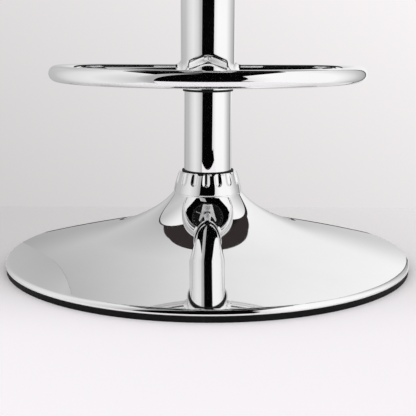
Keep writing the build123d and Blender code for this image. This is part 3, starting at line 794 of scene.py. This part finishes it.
def footrest_plan():
    """The loop's centre line in plan, from the column's right side round the front to its left side."""
    width = FOOTREST_HALF_WIDTH
    corner = FOOTREST_CORNER
    front = FOOTREST_FRONT_RADIUS
    drop = FOOTREST_REACH - front - corner
    side = (width**2 + drop**2 - front**2) / (2 * (width - front))
    side_centre = Vector((width - side, -corner))
    front_centre = Vector((0, front - FOOTREST_REACH))
    meeting = side_centre + (front_centre - side_centre).normalized() * side
    start = Vector((UPPER_TUBE_RADIUS - FOOTREST_SINK, 0))
    corner_start = Vector((width - corner, 0))
    corner_end = Vector((width, -corner))
    right = [start.lerp(corner_start, step / 10) for step in range(11)]
    right += tangent_arc(corner_start, (1, 0), corner_end, 24)
    right += tangent_arc(corner_end, (0, -1), meeting, 30)
    front_way = Vector((meeting.y - front_centre.y, -(meeting.x - front_centre.x)))
    right += tangent_arc(meeting, front_way, (0, -FOOTREST_REACH), 60)
    left = [Vector((-point.x, point.y)) for point in right[-2::-1]]
    return right + left


def footrest_place():
    tilt = Matrix.Rotation(math.radians(-FOOTREST_TILT), 4, "X")
    return Matrix.Translation((0, 0, FOOTREST_Z)) @ tilt


def footrest_loop():
    plan = footrest_plan()
    sides = 64
    place = footrest_place()
    points = []
    for index, point in enumerate(plan):
        before = plan[max(index - 1, 0)]
        after = plan[min(index + 1, len(plan) - 1)]
        way = (after - before).normalized()
        for side in range(sides):
            angle = 2 * math.pi * side / sides
            out = FOOTREST_TUBE_RADIUS * math.cos(angle)
            rise = FOOTREST_TUBE_RADIUS * math.sin(angle)
            points.append(place @ Vector((point.x + way.y * out, point.y - way.x * out, rise)))
    faces = ring_faces(len(plan), sides)[:-sides]
    faces.append(tuple(range(sides)))
    faces.append(tuple(reversed(range(len(points) - sides, len(points)))))
    piece = mesh_object("chrome_footrest", points, faces, 40)
    dress(piece, "chrome", "upper", "footrest_loop")


def footrest_welds():
    """A rippled bead round each end of the back bar, which follows the upper tube's round side."""
    around = 96
    steps = 12
    bore = FOOTREST_TUBE_RADIUS
    place = footrest_place()
    points = []
    faces = []
    for side in (1, -1):
        first = len(points)
        for turn in range(around):
            angle = 2 * math.pi * turn / around
            ripple = WELD_RIPPLE * math.cos(WELD_RIPPLES * angle)
            for step in range(steps + 1):
                share = step / steps
                radius = bore + WELD_THROAT * (1 - share) ** 1.8 + ripple * math.sin(math.pi * share)
                points.append(place @ weld_point(side, radius, angle, WELD_LENGTH * share**1.5))
            points.append(place @ weld_point(side, bore, angle, 0))
        for face in ring_faces(around, steps + 2):
            faces.append(tuple(first + corner for corner in face[::side]))
    piece = mesh_object("chrome_welds", points, faces, 40)
    dress(piece, "chrome", "upper", "footrest_welds")


def weld_point(side, radius, angle, lift):
    """A point round the bar, lifted off the upper tube's wall."""
    y = radius * math.cos(angle)
    wall = math.sqrt(UPPER_TUBE_RADIUS**2 - y**2)
    return Vector((side * (wall + lift), y, radius * math.sin(angle)))


def turned_form(name, profile, segments):
    """A closed body turned from an outline that starts at its top's middle and ends on the axis."""
    count = len(profile) - 2
    points = [(0, 0, profile[0][1]), (0, 0, profile[-1][1])]
    faces = []
    for segment in range(segments):
        angle = 2 * math.pi * segment / segments
        points += [(r * math.sin(angle), -r * math.cos(angle), z) for r, z in profile[1:-1]]
        here = 2 + segment * count
        there = 2 + (segment + 1) % segments * count
        faces.append((0, here, there))
        for index in range(count - 1):
            faces.append((here + index, here + index + 1, there + index + 1, there + index))
        faces.append((here + count - 1, 1, there + count - 1))
    return mesh_object(name, points, faces)


def cushion_outline():
    """The slack cushion in radius and height: its crown, side, foot and the board's hollow."""
    top = Vector((0, SEAT_TOP_Z - CLOTH_SLACK))
    seam = Vector((SEAM_RADIUS - PIPING_RADIUS, SEAM_Z))
    bulge = Vector((SEAT_BULGE_RADIUS - CLOTH_SLACK, (SEAM_Z + SEAT_FOOT_Z) / 2))
    foot_side = Vector((SEAT_FOOT_RADIUS, SEAT_FOOT_Z + SEAT_FOOT_ROUND))
    foot = Vector((SEAT_FOOT_RADIUS - SEAT_FOOT_ROUND, SEAT_FOOT_Z))
    profile = [top] + tangent_arc(top, (1, 0), seam, 40)
    fullness = Vector((0.001, 0))
    profile += [seam.lerp(bulge, 0.35) + fullness, bulge]
    profile += [bulge.lerp(foot_side, 0.6) + fullness, foot_side]
    profile += tangent_arc(foot_side, (0, -1), foot, 5)
    profile += [Vector((HOLLOW_RADIUS, SEAT_FOOT_Z)), Vector((HOLLOW_RADIUS, HOLLOW_TOP))]
    profile += [Vector((0, HOLLOW_TOP))]
    return profile


def with_modifiers(piece):
    """A copy of a piece's mesh with its modifiers applied."""
    graph = bpy.context.evaluated_depsgraph_get()
    return bpy.data.meshes.new_from_object(piece.evaluated_get(graph))


def even_out(piece):
    """Remeshes a piece into even quads."""
    even = piece.modifiers.new("even", "REMESH")
    even.mode = "VOXEL"
    even.voxel_size = CLOTH_STEP
    even.use_smooth_shade = True
    mesh = with_modifiers(piece)
    piece.modifiers.clear()
    piece.data = mesh


def radius_of(point):
    return math.hypot(point.x, point.y)


def from_seam(point):
    return math.hypot(radius_of(point) - SEAM_RADIUS, point.z - SEAM_Z)


def is_held(point):
    """Whether the cover is held there: under the seat, at the board, or at the seam."""
    under = point.z < SEAT_FOOT_Z + CLOTH_STEP
    inside = radius_of(point) < SEAT_FOOT_RADIUS - SEAT_FOOT_ROUND
    at_board = inside and point.z < HOLLOW_TOP + CLOTH_STEP
    return under or at_board or from_seam(point) < CLOTH_STEP + PIPING_RADIUS


def puff_up(piece):
    """Blows the slack cover up like foam under it, as far as CLOTH_REACH lets it go."""
    starts = [vertex.co.copy() for vertex in piece.data.vertices]
    held = piece.vertex_groups.new(name="held")
    held.add([index for index, point in enumerate(starts) if is_held(point)], 1.0, "REPLACE")
    cloth = piece.modifiers.new("puff", "CLOTH").settings
    cloth.vertex_group_mass = held.name
    cloth.quality = 6
    cloth.tension_stiffness = 12
    cloth.compression_stiffness = 12
    cloth.bending_stiffness = 0.6
    cloth.use_pressure = True
    cloth.uniform_pressure_force = CLOTH_PRESSURE
    cloth.shrink_min = -0.015
    cloth.effector_weights.gravity = 0
    for number in range(1, CLOTH_FRAMES + 1):
        bpy.context.scene.frame_set(number)
    mesh = with_modifiers(piece)
    piece.modifiers.clear()
    piece.vertex_groups.clear()
    for vertex, start in zip(mesh.vertices, starts):
        move = vertex.co - start
        if move.length > CLOTH_REACH:
            vertex.co = start + move.normalized() * CLOTH_REACH
    piece.data = mesh
    bpy.context.scene.frame_set(1)


def pucker(piece):
    """Gathers the cover in small folds beside the seam, and draws in the band's join at the back."""
    for vertex in piece.data.vertices:
        point = vertex.co
        angle = math.atan2(point.x, -point.y)
        near = math.exp(-((from_seam(point) / PUCKER_REACH) ** 2))
        drift = 4 * noise.noise(Vector((math.cos(angle) * 2.2, math.sin(angle) * 2.2, 0.3)))
        wave = PUCKER_HEIGHT * near * math.cos(PUCKERS * angle + drift)
        off_join = radius_of(point) * (math.pi - abs(angle))
        on_band = point.z < SEAM_Z and radius_of(point) > SEAT_FOOT_RADIUS - SEAT_FOOT_ROUND
        join = JOIN_DEPTH * math.exp(-((off_join / JOIN_WIDTH) ** 2)) if on_band else 0
        vertex.co = point + vertex.normal * (wave - join)


def seat_cushion():
    piece = turned_form("padded_cushion", cushion_outline(), 144)
    even_out(piece)
    puff_up(piece)
    pucker(piece)
    smooth = piece.modifiers.new("smooth", "SUBSURF")
    smooth.levels = 1
    smooth.render_levels = 1
    dress(piece, "black_leatherette", "upper", "seat_cushion")
    return piece


def seat_piping():
    """The covered cord in the seam, a little uneven where the cover is gathered over it."""
    around = 360
    sides = 20
    points = []
    for turn in range(around):
        angle = 2 * math.pi * turn / around
        cord = PIPING_RADIUS * (1 + PIPING_UNEVENNESS * math.cos(PUCKERS * angle))
        for side in range(sides):
            lean = 2 * math.pi * side / sides
            r = SEAM_RADIUS + cord * math.cos(lean)
            points.append((r * math.sin(angle), -r * math.cos(angle), SEAM_Z + cord * math.sin(lean)))
    piece = mesh_object("seat_cord", points, ring_faces(around, sides))
    dress(piece, "black_leatherette", "upper", "seat_piping")


def bent_wire(middle, way, up, length, radius):
    """A stitch or a staple: a wire that comes up, lies along a surface and goes down again."""
    across = way.cross(up)
    stations = 9
    sides = 8
    points = []
    for station in range(stations):
        share = 2 * station / (stations - 1) - 1
        height = radius * (0.7 - 2.6 * share**4)
        centre = middle + way * (share * length / 2) + up * height
        for side in range(sides):
            angle = 2 * math.pi * side / sides
            points.append(centre + (across * math.cos(angle) + up * math.sin(angle)) * radius)
    faces = ring_faces(stations, sides)[:-sides]
    faces.append(tuple(range(sides)))
    faces.append(tuple(reversed(range(len(points) - sides, len(points)))))
    return points, faces


def merged(name, shapes):
    """One mesh from several point and face lists."""
    points = []
    faces = []
    for shape_points, shape_faces in shapes:
        first = len(points)
        points += shape_points
        faces += [tuple(first + corner for corner in face) for face in shape_faces]
    return mesh_object(name, points, faces)


def stitches(cushion):
    """A row of stitches on the crown and one on the band, both along the piping."""
    cover = BVHTree.FromObject(cushion, bpy.context.evaluated_depsgraph_get())
    count = round(2 * math.pi * SEAM_RADIUS / STITCH_PITCH)
    shapes = []
    for number in range(count):
        angle = 2 * math.pi * number / count
        out = Vector((math.sin(angle), -math.cos(angle), 0))
        way = Vector((math.cos(angle), math.sin(angle), 0))
        above = out * (SEAM_RADIUS - STITCH_ROW) + Vector((0, 0, SEAT_TOP_Z + CLEAR_OF_SEAT))
        beside = out * (SEAT_BULGE_RADIUS + CLEAR_OF_SEAT) + Vector((0, 0, SEAM_Z - STITCH_ROW))
        for start, look in ((above, Vector((0, 0, -1))), (beside, -out)):
            point, normal, _, _ = cover.ray_cast(start, look)
            level_way = (way - normal * way.dot(normal)).normalized()
            shapes.append(bent_wire(point, level_way, normal, STITCH_LENGTH, STITCH_RADIUS))
    piece = merged("seam_stitches", shapes)
    dress(piece, "black_leatherette", "upper", look=thread())


def staples():
    """Staples that hold the dust cover and the gathered cover's edge to the board."""
    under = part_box("dust_cover")[0][2]
    down = Vector((0, 0, -1))
    shapes = []
    for number in range(STAPLES):
        angle = 2 * math.pi * number / STAPLES
        skew = angle + STAPLE_SKEW * noise.noise(Vector((number * 0.7, 0, 0)))
        middle = Vector((STAPLE_ROW * math.sin(angle), -STAPLE_ROW * math.cos(angle), under))
        way = Vector((math.cos(skew), math.sin(skew), 0))
        shapes.append(bent_wire(middle, way, down, STAPLE_LENGTH, STAPLE_RADIUS))
    piece = merged("lining_staples", shapes)
    dress(piece, "bare_steel", "upper")


base_shell()
lower_tube()
upper_tube()
column_collar()
footrest_loop()
footrest_welds()
stitches(seat_cushion())
seat_piping()
staples()

view = bpy.context.scene.view_settings
view.view_transform = "Standard"
